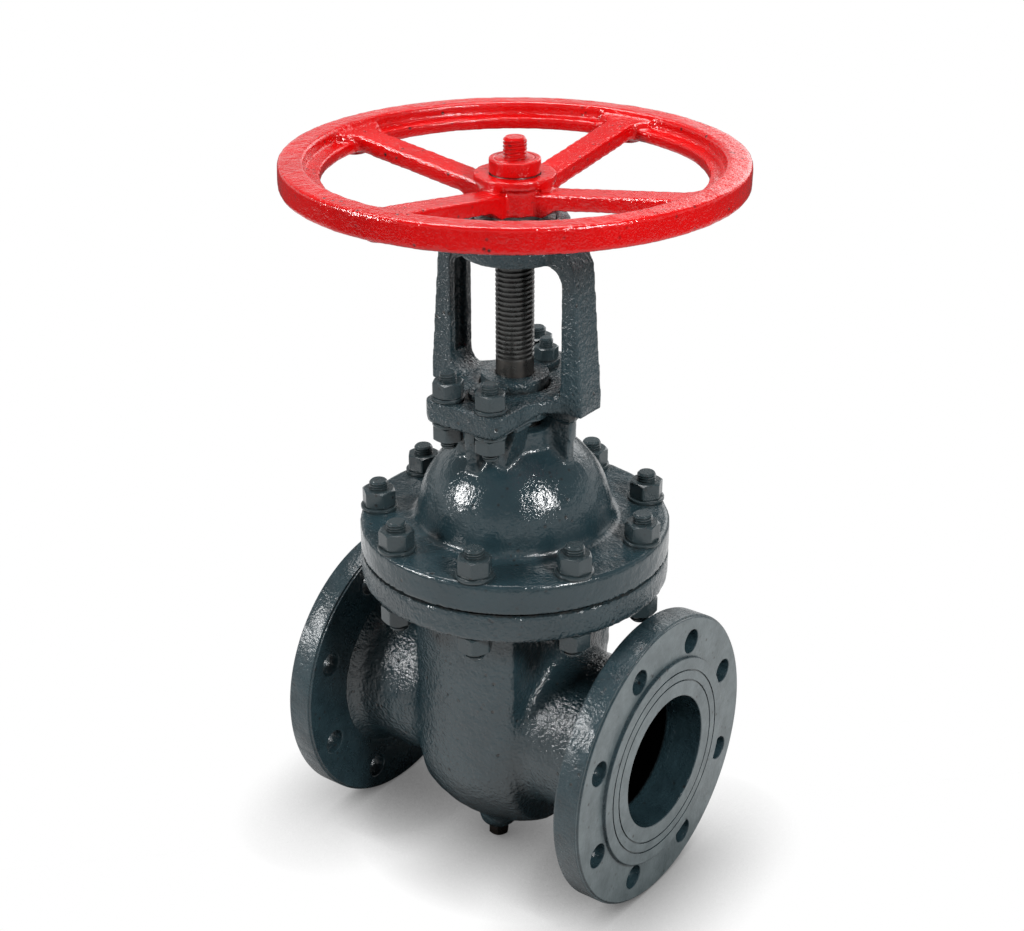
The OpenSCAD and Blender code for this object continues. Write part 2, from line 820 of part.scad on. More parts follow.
module yoke_washers() {
    color(steel_colour) at_stem() at_yoke_studs() {
        translate([0, 0, base_top_z]) washer(yoke_washer_d, yoke_stud_d);
        translate([0, 0, seat_z - washer_t]) washer(yoke_washer_d, yoke_stud_d);
    }
}

module yoke_upper_nuts() {
    color(steel_colour) at_stem() at_yoke_studs()
        translate([0, 0, base_top_z + washer_t])
            rotate(flat_turn) bored_nut(yoke_nut_af, yoke_nut_h, yoke_stud_d);
}

module yoke_lower_nuts() {
    color(steel_colour) at_stem() at_yoke_studs()
        translate([0, 0, seat_z - washer_t]) mirror([0, 0, 1])
            rotate(flat_turn) bored_nut(yoke_nut_af, yoke_nut_h, yoke_stud_d);
}

module yoke_sleeve() {
    color(steel_colour) at_stem() difference() {
        union() {
            translate([0, 0, sleeve_low_z]) cylinder(r = sleeve_r, h = hub_top_z - sleeve_low_z);
            translate([0, 0, sleeve_flange_low_z])
                cylinder(r = sleeve_flange_r, h = sleeve_flange_h - seat_play);
            translate([0, 0, hub_top_z]) cylinder(r = sleeve_thread_r, h = sleeve_thread_h);
        }
        cylinder(r = guide_r, h = hub_nut_top_z);
    }
}

module sleeve_ring() {
    color(steel_colour) at_stem() difference() {
        translate([0, 0, head_top_z - sleeve_ring_h])
            cylinder(r = sleeve_ring_r - thread_play, h = sleeve_ring_h);
        cylinder(r = sleeve_r + seat_play, h = head_top_z + overrun);
    }
}

// Section of the rim: a rounded bar with a lower ledge inside it
module rim_section() {
    translate([wheel_r - rim_w / 2, rim_top_z - rim_h / 2])
        rounded_rect([rim_w, rim_h], rim_corner_r);
    translate([wheel_r - rim_w - ledge_w / 2, rim_top_z - rim_h + ledge_h / 2])
        rounded_rect([2 * ledge_w, ledge_h], rim_corner_r / 2);
}

// Plan of one spoke, flared where it runs into the rim
module spoke_plan() {
    translate([0, -spoke_w / 2]) square([rim_inner_r + overrun, spoke_w]);
    difference() {
        translate([ledge_inner_r - spoke_flare_r, -spoke_w / 2 - spoke_flare_r])
            square([spoke_flare_r + ledge_w, spoke_w + 2 * spoke_flare_r]);
        for (side = [-1, 1])
            translate([ledge_inner_r - spoke_flare_r, side * (spoke_w / 2 + spoke_flare_r)])
                circle(spoke_flare_r);
    }
}

// Side view of one spoke, deepened to the foot of the hub
module spoke_side() {
    root_r = hub_d / 2;
    root_end_r = hub_d / 2 + spoke_h;
    polygon([
        [0, spoke_top_z(0)],
        [rim_inner_r + overrun, spoke_top_z(rim_inner_r + overrun)],
        [rim_inner_r + overrun, spoke_top_z(rim_inner_r + overrun) - spoke_h],
        [root_end_r, spoke_top_z(root_end_r) - spoke_h],
        [root_r, hub_low_z + stem_play],
        [0, hub_low_z + stem_play]
    ]);
}

module spoke() {
    intersection() {
        translate([0, 0, hub_low_z - overrun])
            linear_extrude(rim_top_z - hub_low_z) spoke_plan();
        rotate([90, 0, 0])
            linear_extrude(2 * (spoke_w + spoke_flare_r), center = true) spoke_side();
    }
    translate([rim_inner_r, 0, rim_top_z - rim_h - pad_h])
        cylinder(d = pad_d, h = pad_h + spoke_h / 2);
}

module handwheel() {
    color(wheel_colour) at_stem() difference() {
        union() {
            rotate_extrude() rim_section();
            translate([0, 0, hub_low_z]) cylinder(d = hub_neck_d, h = hub_h);
            translate([0, 0, hub_top_z - hub_plate_t]) cylinder(d = hub_d, h = hub_plate_t);
            for (i = [0 : spoke_count - 1])
                rotate([0, 0, spoke_turn + i * 360 / spoke_count]) spoke();
        }
        translate([0, 0, hub_low_z - overrun])
            cylinder(r = sleeve_r + stem_play, h = hub_h + 2 * overrun);
    }
}

module hub_nut() {
    color(wheel_colour) at_stem() translate([0, 0, hub_top_z]) difference() {
        cylinder(d = hub_nut_d, h = hub_nut_h);
        translate([0, 0, -overrun])
            cylinder(r = guide_r, h = hub_nut_h + 2 * overrun);
        translate([0, 0, -overrun])
            cylinder(r = sleeve_thread_r + thread_play, h = sleeve_thread_h + overrun);
    }
}

valve_body();
inlet_end();
outlet_end();
inlet_seat_ring();
outlet_seat_ring();
wedge_gate();
stem();
drain_plug();
bonnet_gasket();
bonnet();
bonnet_studs();
bonnet_washers();
bonnet_upper_nuts();
bonnet_lower_nuts();
packing();
gland();
gland_studs();
gland_nuts();
yoke();
yoke_studs();
yoke_washers();
yoke_upper_nuts();
yoke_lower_nuts();
yoke_sleeve();
sleeve_ring();
handwheel();
hub_nut();
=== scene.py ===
import math

import bmesh
import bpy
from mathutils import Matrix, Vector, noise


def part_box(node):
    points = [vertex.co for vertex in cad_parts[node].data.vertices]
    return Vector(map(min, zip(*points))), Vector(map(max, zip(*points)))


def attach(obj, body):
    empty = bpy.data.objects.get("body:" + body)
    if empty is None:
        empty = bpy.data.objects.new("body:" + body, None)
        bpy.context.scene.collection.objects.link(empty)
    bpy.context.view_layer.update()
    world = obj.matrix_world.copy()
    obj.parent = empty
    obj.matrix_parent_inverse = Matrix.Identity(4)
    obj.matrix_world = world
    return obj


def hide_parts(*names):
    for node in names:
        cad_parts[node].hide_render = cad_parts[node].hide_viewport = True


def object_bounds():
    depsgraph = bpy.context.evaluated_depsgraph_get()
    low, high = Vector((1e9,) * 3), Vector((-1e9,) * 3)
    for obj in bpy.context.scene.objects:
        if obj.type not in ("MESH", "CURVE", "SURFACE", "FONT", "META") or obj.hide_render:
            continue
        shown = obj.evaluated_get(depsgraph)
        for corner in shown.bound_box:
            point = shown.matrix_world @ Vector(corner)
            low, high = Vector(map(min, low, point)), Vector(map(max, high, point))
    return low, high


# Looks of a flanged gate valve of cast steel: enamel over rough castings, turned flange faces,
# threads, nuts and oily steel. Lengths are in metres.
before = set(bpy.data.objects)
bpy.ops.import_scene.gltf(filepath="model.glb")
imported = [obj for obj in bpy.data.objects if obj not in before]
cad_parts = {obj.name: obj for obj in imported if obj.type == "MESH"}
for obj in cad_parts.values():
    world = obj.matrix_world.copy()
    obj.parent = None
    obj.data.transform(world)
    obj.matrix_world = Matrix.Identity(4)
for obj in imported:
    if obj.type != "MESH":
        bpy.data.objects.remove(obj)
cad_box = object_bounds()

MM = 0.001
WELD = 0.005 * MM
FLAT = math.radians(0.02)
SHARP = math.radians(28)

# Places read from the CAD parts
stem_low, stem_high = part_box("stem")
axis_x = (stem_low.x + stem_high.x) / 2
stem_radius = (stem_high.x - stem_low.x) / 2
joint_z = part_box("valve_body")[1].z
inlet_low, inlet_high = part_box("inlet_end")
outlet_low, outlet_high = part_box("outlet_end")
yoke_foot_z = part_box("yoke")[0].z
gland_top_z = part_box("gland")[1].z
hub_nut_top_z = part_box("hub_nut")[1].z


# Mesh helpers

def cad_copy(node):
    """A welded copy of a CAD node's mesh."""
    bm = bmesh.new()
    bm.from_mesh(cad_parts[node].data)
    bmesh.ops.remove_doubles(bm, verts=bm.verts, dist=WELD)
    return bm


def mesh_from(bm, name):
    """A stored mesh of an edited one, which is freed."""
    mesh = bpy.data.meshes.new(name)
    bm.to_mesh(mesh)
    bm.free()
    return mesh


def scene_object(name, data):
    """A new object in the scene."""
    thing = bpy.data.objects.new(name, data)
    bpy.context.scene.collection.objects.link(thing)
    return thing


def only_edges(geom):
    return [e for e in geom if isinstance(e, bmesh.types.BMEdge)]


def only_verts(geom):
    return [v for v in geom if isinstance(v, bmesh.types.BMVert)]


def whole_faces(bm):
    """Joins the triangles of each flat face."""
    bmesh.ops.dissolve_limit(bm, angle_limit=FLAT, verts=bm.verts, edges=bm.edges)


def round_edges(bm, width, segments=2, chosen=None):
    """Rounds the sharp edges of a mesh, or those of them that are chosen."""
    edges = [e for e in bm.edges if e.calc_face_angle(0.0) > SHARP and (chosen is None or chosen(e))]
    bmesh.ops.bevel(bm, geom=edges, offset=width, offset_type="OFFSET", segments=segments,
                    profile=0.5, affect="EDGES", material=-1, clamp_overlap=True)


def join(bm, other):
    """Adds another mesh to a mesh and frees it."""
    mesh = mesh_from(other, "joined")
    bm.from_mesh(mesh)
    bpy.data.meshes.remove(mesh)


def piece_from(bm, name, body, slot, material, *nodes):
    """Makes a finished piece of a mesh, on its body, in place of its CAD nodes."""
    mesh = mesh_from(bm, name)
    mesh.shade_smooth()
    mesh.set_sharp_from_angle(angle=SHARP)
    mesh.materials.append(material)
    piece = scene_object(name, mesh)
    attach(piece, body)
    if nodes:
        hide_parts(*nodes)
    return piece


def cut_off(bm, place, way):
    """Cuts off what lies beyond a plane, on the side that way points to. Gives the open edges."""
    geom = list(bm.verts) + list(bm.edges) + list(bm.faces)
    cut = bmesh.ops.bisect_plane(bm, geom=geom, dist=WELD, plane_co=place, plane_no=way, clear_outer=True)
    return only_edges(cut["geom_cut"])


def remeshed(bm, grain):
    """The same solid as an even skin of small faces, as a sand mould would leave it."""
    mesh = mesh_from(bm, "mould")
    mould = scene_object("mould", mesh)
    remesh = mould.modifiers.new("sand", "REMESH")
    remesh.mode = "VOXEL"
    remesh.voxel_size = grain
    skin = bpy.data.meshes.new_from_object(mould.evaluated_get(bpy.context.evaluated_depsgraph_get()))
    bpy.data.objects.remove(mould)
    bpy.data.meshes.remove(mesh)
    result = bmesh.new()
    result.from_mesh(skin)
    bpy.data.meshes.remove(skin)
    return result


def soften(bm, passes, is_soft=None):
    """Rounds corners and hollows like those of a casting."""
    verts = [v for v in bm.verts if is_soft is None or is_soft(v.co)]
    for _ in range(passes):
        bmesh.ops.smooth_vert(bm, verts=verts, factor=0.5, use_axis_x=True, use_axis_y=True, use_axis_z=True)


ROUGH_FALLOFF = 0.8
ROUGH_STEP = 2.0
ROUGH_LAYERS = 3


def roughen(bm, size, height, is_rough=None):
    """Moves the skin in and out by a slow noise, all over or only where it is rough."""
    bm.normal_update()
    for v in bm.verts:
        if is_rough is None or is_rough(v.co):
            v.co += v.normal * height * noise.fractal(v.co / size, ROUGH_FALLOFF, ROUGH_STEP, ROUGH_LAYERS)


# Shader helpers

def feed(tree, socket, value):
    """Links a socket to another one, or sets it to a plain value."""
    if isinstance(value, bpy.types.NodeSocket):
        tree.links.new(value, socket)
    else:
        socket.default_value = value


def shader_node(tree, kind, inputs=None, **settings):
    """A new node with its settings and inputs."""
    node = tree.nodes.new(kind)
    for key, value in settings.items():
        setattr(node, key, value)
    for key, value in (inputs or {}).items():
        feed(tree, node.inputs[key], value)
    return node


def maths(tree, operation, first, second=0.0, clamp=False):
    """A sum or the like of one or two numbers."""
    return shader_node(tree, "ShaderNodeMath", {0: first, 1: second},
                       operation=operation, use_clamp=clamp).outputs[0]


def spread(tree, value, low, high):
    """Stretches the part of a value between low and high over 0 to 1."""
    return shader_node(tree, "ShaderNodeMapRange",
                       {"Value": value, "From Min": low, "From Max": high}).outputs["Result"]


def opaque(colour):
    return (*colour, 1.0)


def mixed(tree, factor, first, second):
    """Colour between two others."""
    node = shader_node(tree, "ShaderNodeMix", {"Factor": factor, 6: first, 7: second}, data_type="RGBA")
    return node.outputs[2]


def blended(tree, factor, first, second):
    """Number between two others."""
    node = shader_node(tree, "ShaderNodeMix", {"Factor": factor, 2: first, 3: second}, data_type="FLOAT")
    return node.outputs[0]


def effect_group(name, inputs, outputs):
    """An empty shader group with named number sockets."""
    group = bpy.data.node_groups.new(name, "ShaderNodeTree")
    for label in inputs:
        group.interface.new_socket(label, in_out="INPUT", socket_type="NodeSocketFloat")
    for label in outputs:
        group.interface.new_socket(label, in_out="OUTPUT", socket_type="NodeSocketFloat")
    source = group.nodes.new("NodeGroupInput")
    target = group.nodes.new("NodeGroupOutput")
    return group, source.outputs, target.inputs


def placed(tree, group, values):
    """A shared effect in a finish, with its own values. Gives its outputs."""
    return shader_node(tree, "ShaderNodeGroup", values, node_tree=group).outputs


def object_place(tree):
    return shader_node(tree, "ShaderNodeTexCoord").outputs["Object"]


def noise_value(tree, scale, detail=2.0, roughness=0.5):
    """Noise fixed to the piece. scale is in bumps a metre."""
    inputs = {"Vector": object_place(tree), "Scale": scale, "Detail": detail, "Roughness": roughness}
    return shader_node(tree, "ShaderNodeTexNoise", inputs).outputs["Fac"]


def finish(name, colour, roughness, constants=None):
    """A new material with its main shader. Gives the material, its tree and the shader."""
    material = bpy.data.materials.new(name)
    material.use_nodes = True
    tree = material.node_tree
    shader = tree.nodes["Principled BSDF"]
    shader.inputs["Base Color"].default_value = opaque(colour)
    shader.inputs["Roughness"].default_value = roughness
    for key, value in (constants or {}).items():
        shader.inputs[key].default_value = value
    return material, tree, shader


def bump(tree, shader, height, depth):
    """Raises the skin of a finish by a height of 0 to 1 times a depth."""
    node = shader_node(tree, "ShaderNodeBump", {"Height": height, "Strength": 1.0, "Distance": depth})
    tree.links.new(node.outputs["Normal"], shader.inputs["Normal"])


# Effects that several finishes share

PIT_WALL = (0.24, 0.08)
PIT_AREA = (0.49, 0.62)
PIT_HEIGHT = -0.25
LUMP_SHARE = 0.45
# Breakup of the dirt and painted shade in corners
DIRT_AND_SHADE_AREA = (0.3, 0.7)


def make_cast_skin():
    """Height of a rough cast skin under paint: grain, lumps and small pits."""
    group, given, result = effect_group("cast skin", ("Grain", "Lumps", "Pits"), ("Height", "Pitted"))
    grain = noise_value(group, given["Grain"], detail=3.0, roughness=0.55)
    lumps = noise_value(group, given["Lumps"])
    cells = shader_node(group, "ShaderNodeTexVoronoi",
                        {"Vector": object_place(group), "Scale": given["Pits"]}).outputs["Distance"]
    pit = spread(group, cells, *PIT_WALL)
    rare = spread(group, noise_value(group, 45.0), *PIT_AREA)
    pitted = maths(group, "MULTIPLY", pit, rare, clamp=True)
    skin = blended(group, LUMP_SHARE, grain, lumps)
    height = shader_node(group, "ShaderNodeMath", {0: pitted, 1: PIT_HEIGHT, 2: skin},
                         operation="MULTIPLY_ADD").outputs[0]
    group.links.new(height, result["Height"])
    group.links.new(pitted, result["Pitted"])
    return group


def make_corner_dirt_and_shade():
    """Painted shade and dirt in corners and round what stands on a surface: darkening by ambient occlusion,
    broken up by noise.
    """
    group, given, result = effect_group("corner dirt and shade", ("Reach", "Breakup", "Amount"), ("Dirt and shade",))
    shade = shader_node(group, "ShaderNodeAmbientOcclusion", {"Distance": given["Reach"]}, samples=3)
    closed = maths(group, "SUBTRACT", 1.0, shade.outputs["AO"])
    patch = spread(group, noise_value(group, given["Breakup"], detail=4.0, roughness=0.65), *DIRT_AND_SHADE_AREA)
    dirt_and_shade = maths(group, "MULTIPLY", maths(group, "MULTIPLY", closed, given["Amount"]), patch, clamp=True)
    group.links.new(dirt_and_shade, result["Dirt and shade"])
    return group


cast_skin = make_cast_skin()
corner_dirt_and_shade = make_corner_dirt_and_shade()


# Finishes

SLATE = (0.023, 0.047, 0.057)
SLATE_DARK = (0.013, 0.028, 0.035)
# The turned flange faces are painted much lighter than the rim, partly their own thinner coat and partly
# painted reflection
FACE_SLATE_AND_SHEEN = (0.14, 0.172, 0.18)
FACE_DARK_AND_SHEEN = (0.075, 0.098, 0.105)
NUT_SLATE = (0.033, 0.051, 0.057)
NUT_DARK = (0.019, 0.031, 0.036)
RED = (0.66, 0.0015, 0.002)
RED_DARK = (0.5, 0.001, 0.0015)
# Dirt colours, which also darken corners as painted shade
BROWN_DIRT_AND_SHADE = (0.022, 0.016, 0.012)
GREY_DIRT_AND_SHADE = (0.02, 0.018, 0.016)
OILY_DIRT_AND_SHADE = (0.01, 0.009, 0.008)
RUST = (0.06, 0.03, 0.014)
# Painted shade in the pits of the cast skin
PIT_SHADE_BLACK = (0.012, 0.012, 0.012)
# Painted shade deep in the bore
BORE_SHADE_BLACK = (0.001, 0.001, 0.001)
FIBRE_DARK = (0.006, 0.006, 0.007)
FIBRE_PALE = (0.016, 0.015, 0.014)
DIRT_AND_SHADE_ROUGHNESS = 0.75
# How far the bore's painted shade reaches: radius round the pipe's axis and distance from the stem
BORE_SHADE_RADIUS = (55 * MM, 53 * MM)
BORE_SHADE_REACH = (106 * MM, 104 * MM)
FACE_REACH = (125 * MM, 127 * MM)
FACE_TILT = (0.9, 0.99)
FACE_GRAIN_SHARE = 0.35


def from_middle(tree):
    """Distance from the stem along the flow, to either side."""
    place = shader_node(tree, "ShaderNodeSeparateXYZ", {0: object_place(tree)}).outputs["X"]
    return maths(tree, "ABSOLUTE", maths(tree, "SUBTRACT", place, axis_x))


def in_shaded_bore(tree):
    """1 deep inside the pipe's bore, where the paint is made black as painted shade."""
    across = shader_node(tree, "ShaderNodeVectorMath", {0: object_place(tree), 1: (0, 1, 1)},
                         operation="MULTIPLY").outputs["Vector"]
    away = shader_node(tree, "ShaderNodeVectorMath", {0: across}, operation="LENGTH").outputs["Value"]
    narrow = spread(tree, away, *BORE_SHADE_RADIUS)
    return maths(tree, "MULTIPLY", narrow, spread(tree, from_middle(tree), *BORE_SHADE_REACH))


def cast_enamel(name, colour, shade, depth, grain, lumps, gloss, dirt_and_shade=1.2, reach=9 * MM, level=0.6):
    """Gloss enamel over a rough casting, with dark brown dirt and painted shade in its corners, painted
    shade in its pits, and painted shade deep in the bore, black and unreflecting.
    """
    material, tree, shader = finish(name, colour, 0.2, {"Specular IOR Level": level})
    skin = placed(tree, cast_skin, {"Grain": grain, "Lumps": lumps, "Pits": 140.0})
    bump(tree, shader, skin["Height"], depth)
    tone = spread(tree, noise_value(tree, 16.0, detail=4.0, roughness=0.6), 0.3, 0.75)
    paint = mixed(tree, tone, opaque(colour), opaque(shade))
    # Dirt and painted shade: the paint darkens to dark brown where ambient occlusion closes in, in corners
    # and round what stands on the surface
    soil_and_shade = placed(tree, corner_dirt_and_shade, {"Reach": reach, "Breakup": 120.0, "Amount": dirt_and_shade})["Dirt and shade"]
    soiled_and_shaded = mixed(tree, soil_and_shade, paint, opaque(BROWN_DIRT_AND_SHADE))
    # Painted shade: the pits of the cast skin are painted near black
    pitted = mixed(tree, skin["Pitted"], soiled_and_shaded, opaque(PIT_SHADE_BLACK))
    # Painted shade: deep in the bore the paint turns black and fully metallic, so it shows neither light nor
    # reflection
    bore_shade = in_shaded_bore(tree)
    tree.links.new(mixed(tree, bore_shade, pitted, opaque(BORE_SHADE_BLACK)), shader.inputs["Base Color"])
    sheen = blended(tree, noise_value(tree, 60.0, detail=3.0), *gloss)
    dull = maths(tree, "MAXIMUM", soil_and_shade, bore_shade)
    tree.links.new(blended(tree, dull, sheen, DIRT_AND_SHADE_ROUGHNESS), shader.inputs["Roughness"])
    tree.links.new(bore_shade, shader.inputs["Metallic"])
    return material


def turned_enamel(name):
    """Enamel over a flange: satin and mottled on the turned faces, glossy and grained on the rim. The turned
    faces are painted much lighter, partly a thinner coat over machined metal and partly painted reflection.
    """
    material, tree, shader = finish(name, SLATE, 0.25, {"Specular IOR Level": 0.6})
    skin = placed(tree, cast_skin, {"Grain": 420.0, "Lumps": 160.0, "Pits": 150.0})
    facing = shader_node(tree, "ShaderNodeTexCoord").outputs["Normal"]
    along = maths(tree, "ABSOLUTE", shader_node(tree, "ShaderNodeSeparateXYZ", {0: facing}).outputs["X"])
    flat = spread(tree, along, *FACE_TILT)
    turned = maths(tree, "MULTIPLY", flat, spread(tree, from_middle(tree), *FACE_REACH))
    height = maths(tree, "MULTIPLY", skin["Height"], blended(tree, turned, 1.0, FACE_GRAIN_SHARE))
    bump(tree, shader, height, 0.9 * MM)
    tone = spread(tree, noise_value(tree, 60.0, detail=8.0, roughness=0.72), 0.38, 0.66)
    rim_paint = mixed(tree, tone, opaque(SLATE), opaque(SLATE_DARK))
    # Partly painted reflection: the turned faces get a much lighter paint than the rim
    face_paint_and_sheen = mixed(tree, tone, opaque(FACE_SLATE_AND_SHEEN), opaque(FACE_DARK_AND_SHEEN))
    paint = mixed(tree, turned, rim_paint, face_paint_and_sheen)
    # Grey dirt and painted shade: the paint darkens where ambient occlusion closes in
    soil_and_shade = placed(tree, corner_dirt_and_shade, {"Reach": 6 * MM, "Breakup": 120.0, "Amount": 0.6})["Dirt and shade"]
    soiled_and_shaded = mixed(tree, soil_and_shade, paint, opaque(GREY_DIRT_AND_SHADE))
    # Painted shade: the pits of the cast skin are painted near black
    tree.links.new(mixed(tree, skin["Pitted"], soiled_and_shaded, opaque(PIT_SHADE_BLACK)), shader.inputs["Base Color"])
    patch = noise_value(tree, 90.0, detail=5.0, roughness=0.65)
    gloss = blended(tree, turned, blended(tree, patch, 0.2, 0.36), blended(tree, patch, 0.26, 0.46))
    tree.links.new(gloss, shader.inputs["Roughness"])
    return material


def oiled_steel(name, colour, rust):
    """Dark machined steel with an oil film, a little rust, and oily dirt with painted shade in its corners.
    """
    material, tree, shader = finish(name, colour, 0.35, {"Metallic": 0.75})
    patch = spread(tree, noise_value(tree, 90.0, detail=5.0, roughness=0.65), 0.42, 0.75)
    stain = maths(tree, "MULTIPLY", patch, rust)
    # Oily dirt and painted shade: the steel darkens where ambient occlusion closes in
    soil_and_shade = placed(tree, corner_dirt_and_shade, {"Reach": 3 * MM, "Breakup": 260.0, "Amount": 1.5})["Dirt and shade"]
    base = mixed(tree, stain, opaque(colour), opaque(RUST))
    tree.links.new(mixed(tree, soil_and_shade, base, opaque(OILY_DIRT_AND_SHADE)), shader.inputs["Base Color"])
    tree.links.new(blended(tree, patch, 0.26, 0.5), shader.inputs["Roughness"])
    bump(tree, shader, noise_value(tree, 700.0, detail=3.0), 0.06 * MM)
    return material


def turned_steel(name, colour):
    """Bare turned or ground steel."""
    material, tree, shader = finish(name, colour, 0.3, {"Metallic": 0.9})
    fine = noise_value(tree, 500.0, detail=3.0)
    dim = [0.6 * part for part in colour]
    tree.links.new(mixed(tree, fine, opaque(colour), opaque(dim)), shader.inputs["Base Color"])
    tree.links.new(blended(tree, fine, 0.25, 0.45), shader.inputs["Roughness"])
    bump(tree, shader, fine, 0.05 * MM)
    return material


def graphite(name):
    """Soft dark sealing sheet."""
    material, tree, shader = finish(name, (0.008, 0.008, 0.009), 0.7)
    fibre = noise_value(tree, 900.0, detail=4.0)
    tree.links.new(mixed(tree, fibre, opaque(FIBRE_DARK), opaque(FIBRE_PALE)), shader.inputs["Base Color"])
    bump(tree, shader, fibre, 0.1 * MM)
    return material


body_enamel = cast_enamel("body enamel", SLATE, SLATE_DARK, depth=1.7 * MM, grain=400.0, lumps=210.0,
                          gloss=(0.07, 0.2), level=0.7)
bonnet_enamel = cast_enamel("bonnet enamel", SLATE, SLATE_DARK, depth=0.65 * MM, grain=480.0, lumps=210.0,
                            gloss=(0.06, 0.18))
yoke_enamel = cast_enamel("yoke enamel", SLATE, SLATE_DARK, depth=2.2 * MM, grain=420.0, lumps=180.0,
                          gloss=(0.08, 0.22), dirt_and_shade=1.4)
wheel_enamel = cast_enamel("wheel enamel", RED, RED_DARK, depth=0.6 * MM, grain=560.0, lumps=280.0,
                           gloss=(0.06, 0.18), dirt_and_shade=0.4, level=0.5)
nut_enamel = cast_enamel("nut enamel", NUT_SLATE, NUT_DARK, depth=0.2 * MM, grain=420.0, lumps=200.0,
                         gloss=(0.18, 0.34), dirt_and_shade=0.4, reach=5 * MM)
flange_enamel = turned_enamel("flange enamel")
stud_steel = oiled_steel("stud steel", (0.03, 0.028, 0.026), rust=0.3)
stem_steel = oiled_steel("stem steel", (0.11, 0.113, 0.111), rust=0.15)
shank_steel = oiled_steel("shank steel", (0.05, 0.05, 0.048), rust=0.25)
# Painted shade: the gate, seen only deep in the bore, is made near-black steel
gate_steel = turned_steel("gate steel in shade", (0.02, 0.02, 0.02))
seat_steel = turned_steel("seat steel", (0.34, 0.33, 0.32))
gasket_graphite = graphite("graphite")


# Castings

BODY_GRAIN = 2.15 * MM
BONNET_GRAIN = 1.5 * MM
YOKE_GRAIN = 1.1 * MM
WHEEL_GRAIN = 1.25 * MM
CAST_PASSES = 3
NECK_PASSES = 30
FLANGE_BACK = 24 * MM
FLANGE_CUT = FLANGE_BACK + 0.4 * MM
FLANGE_EDGE = 0.7 * MM
FLANGE_FACING = 0.999
GROOVES_INNER = 58 * MM
GROOVES_OUTER = 72 * MM
NECK_LAP = 5 * MM
NECK_RADIUS = 60 * MM
NECK_BLEND = 14 * MM
CHAMBER_HALF = 45 * MM
LIP_ZONE = 5 * MM
SEAT_DEPTH = 7 * MM
SEAT_MARGIN = 0.5 * MM
SEAT_SHRINK = 1.6 * MM
TONGUE_HALF = 36 * MM
TONGUE_EASE = 7 * MM

inlet_cut_x = inlet_low.x + FLANGE_CUT
outlet_cut_x = outlet_high.x - FLANGE_CUT


def away_from_joint(co):
    """True except on the lips of the joint between body and bonnet."""
    return abs(co.z - joint_z) > LIP_ZONE


def at_neck_foot(co):
    """True round the circles where the necks grow out of the gate chamber."""
    along = abs(abs(co.x - axis_x) - CHAMBER_HALF) < NECK_BLEND
    return along and abs(math.hypot(co.y, co.z) - NECK_RADIUS) < NECK_BLEND


def body_neck(node, cut_x, inner_x, inward):
    """One neck of the body, cut off at its flange. It runs a little into what is at its ends."""
    bm = cad_copy(node)
    rings = cut_off(bm, (cut_x, 0, 0), (-inward, 0, 0))
    grown = bmesh.ops.extrude_edge_only(bm, edges=rings)["geom"]
    bmesh.ops.translate(bm, vec=(-inward * NECK_LAP, 0, 0), verts=only_verts(grown))
    bmesh.ops.bridge_loops(bm, edges=[e for e in only_edges(grown) if e.is_boundary])
    ends = [v for v in bm.verts if abs(v.co.x - inner_x) < WELD]
    bmesh.ops.translate(bm, vec=(inward * NECK_LAP, 0, 0), verts=ends)
    bmesh.ops.recalc_face_normals(bm, faces=bm.faces)
    return bm


def make_body_casting():
    """The body without its end flanges."""
    bm = cad_copy("valve_body")
    join(bm, body_neck("inlet_end", inlet_cut_x, inlet_high.x, 1))
    join(bm, body_neck("outlet_end", outlet_cut_x, outlet_low.x, -1))
    bm = remeshed(bm, BODY_GRAIN)
    soften(bm, NECK_PASSES, at_neck_foot)
    soften(bm, CAST_PASSES, away_from_joint)
    roughen(bm, 9 * MM, 0.35 * MM, away_from_joint)
    piece_from(bm, "body_casting", "valve_frame", "casting_paint", body_enamel,
               "valve_body", "inlet_end", "outlet_end")


def make_end_flange(name, node, cut_x, inward):
    """One end flange with its raised face, sealing grooves and bolt holes, with crisp edges."""
    bm = cad_copy(node)
    rings = cut_off(bm, (cut_x, 0, 0), (inward, 0, 0))
    bmesh.ops.bridge_loops(bm, edges=rings)
    bmesh.ops.recalc_face_normals(bm, faces=bm.faces)
    whole_faces(bm)

    def plain(edge):
        middle = (edge.verts[0].co + edge.verts[1].co) / 2
        in_grooves = GROOVES_INNER < math.hypot(middle.y, middle.z) < GROOVES_OUTER
        return not in_grooves and abs(middle.x - cut_x) > WELD

    round_edges(bm, FLANGE_EDGE, chosen=plain)
    flange = piece_from(bm, name, "valve_frame", "casting_paint", flange_enamel)
    for face in flange.data.polygons:
        if abs(face.normal.x) > FLANGE_FACING:
            face.use_smooth = False


def make_bonnet_casting():
    """Flange, dome, ribs and stuffing box. The seat under the yoke shrinks into the yoke's foot."""
    bm = remeshed(cad_copy("bonnet"), BONNET_GRAIN)
    soften(bm, CAST_PASSES, away_from_joint)
    bm.normal_update()
    for v in bm.verts:
        if v.co.z > yoke_foot_z - SEAT_DEPTH - SEAT_MARGIN:
            if abs(v.co.x - axis_x) > TONGUE_HALF:
                v.co.z = yoke_foot_z + SEAT_SHRINK
            else:
                v.co -= v.normal * SEAT_SHRINK
    roughen(bm, 10 * MM, 0.25 * MM, away_from_joint)
    piece_from(bm, "bonnet_casting", "valve_frame", "casting_paint", bonnet_enamel, "bonnet")


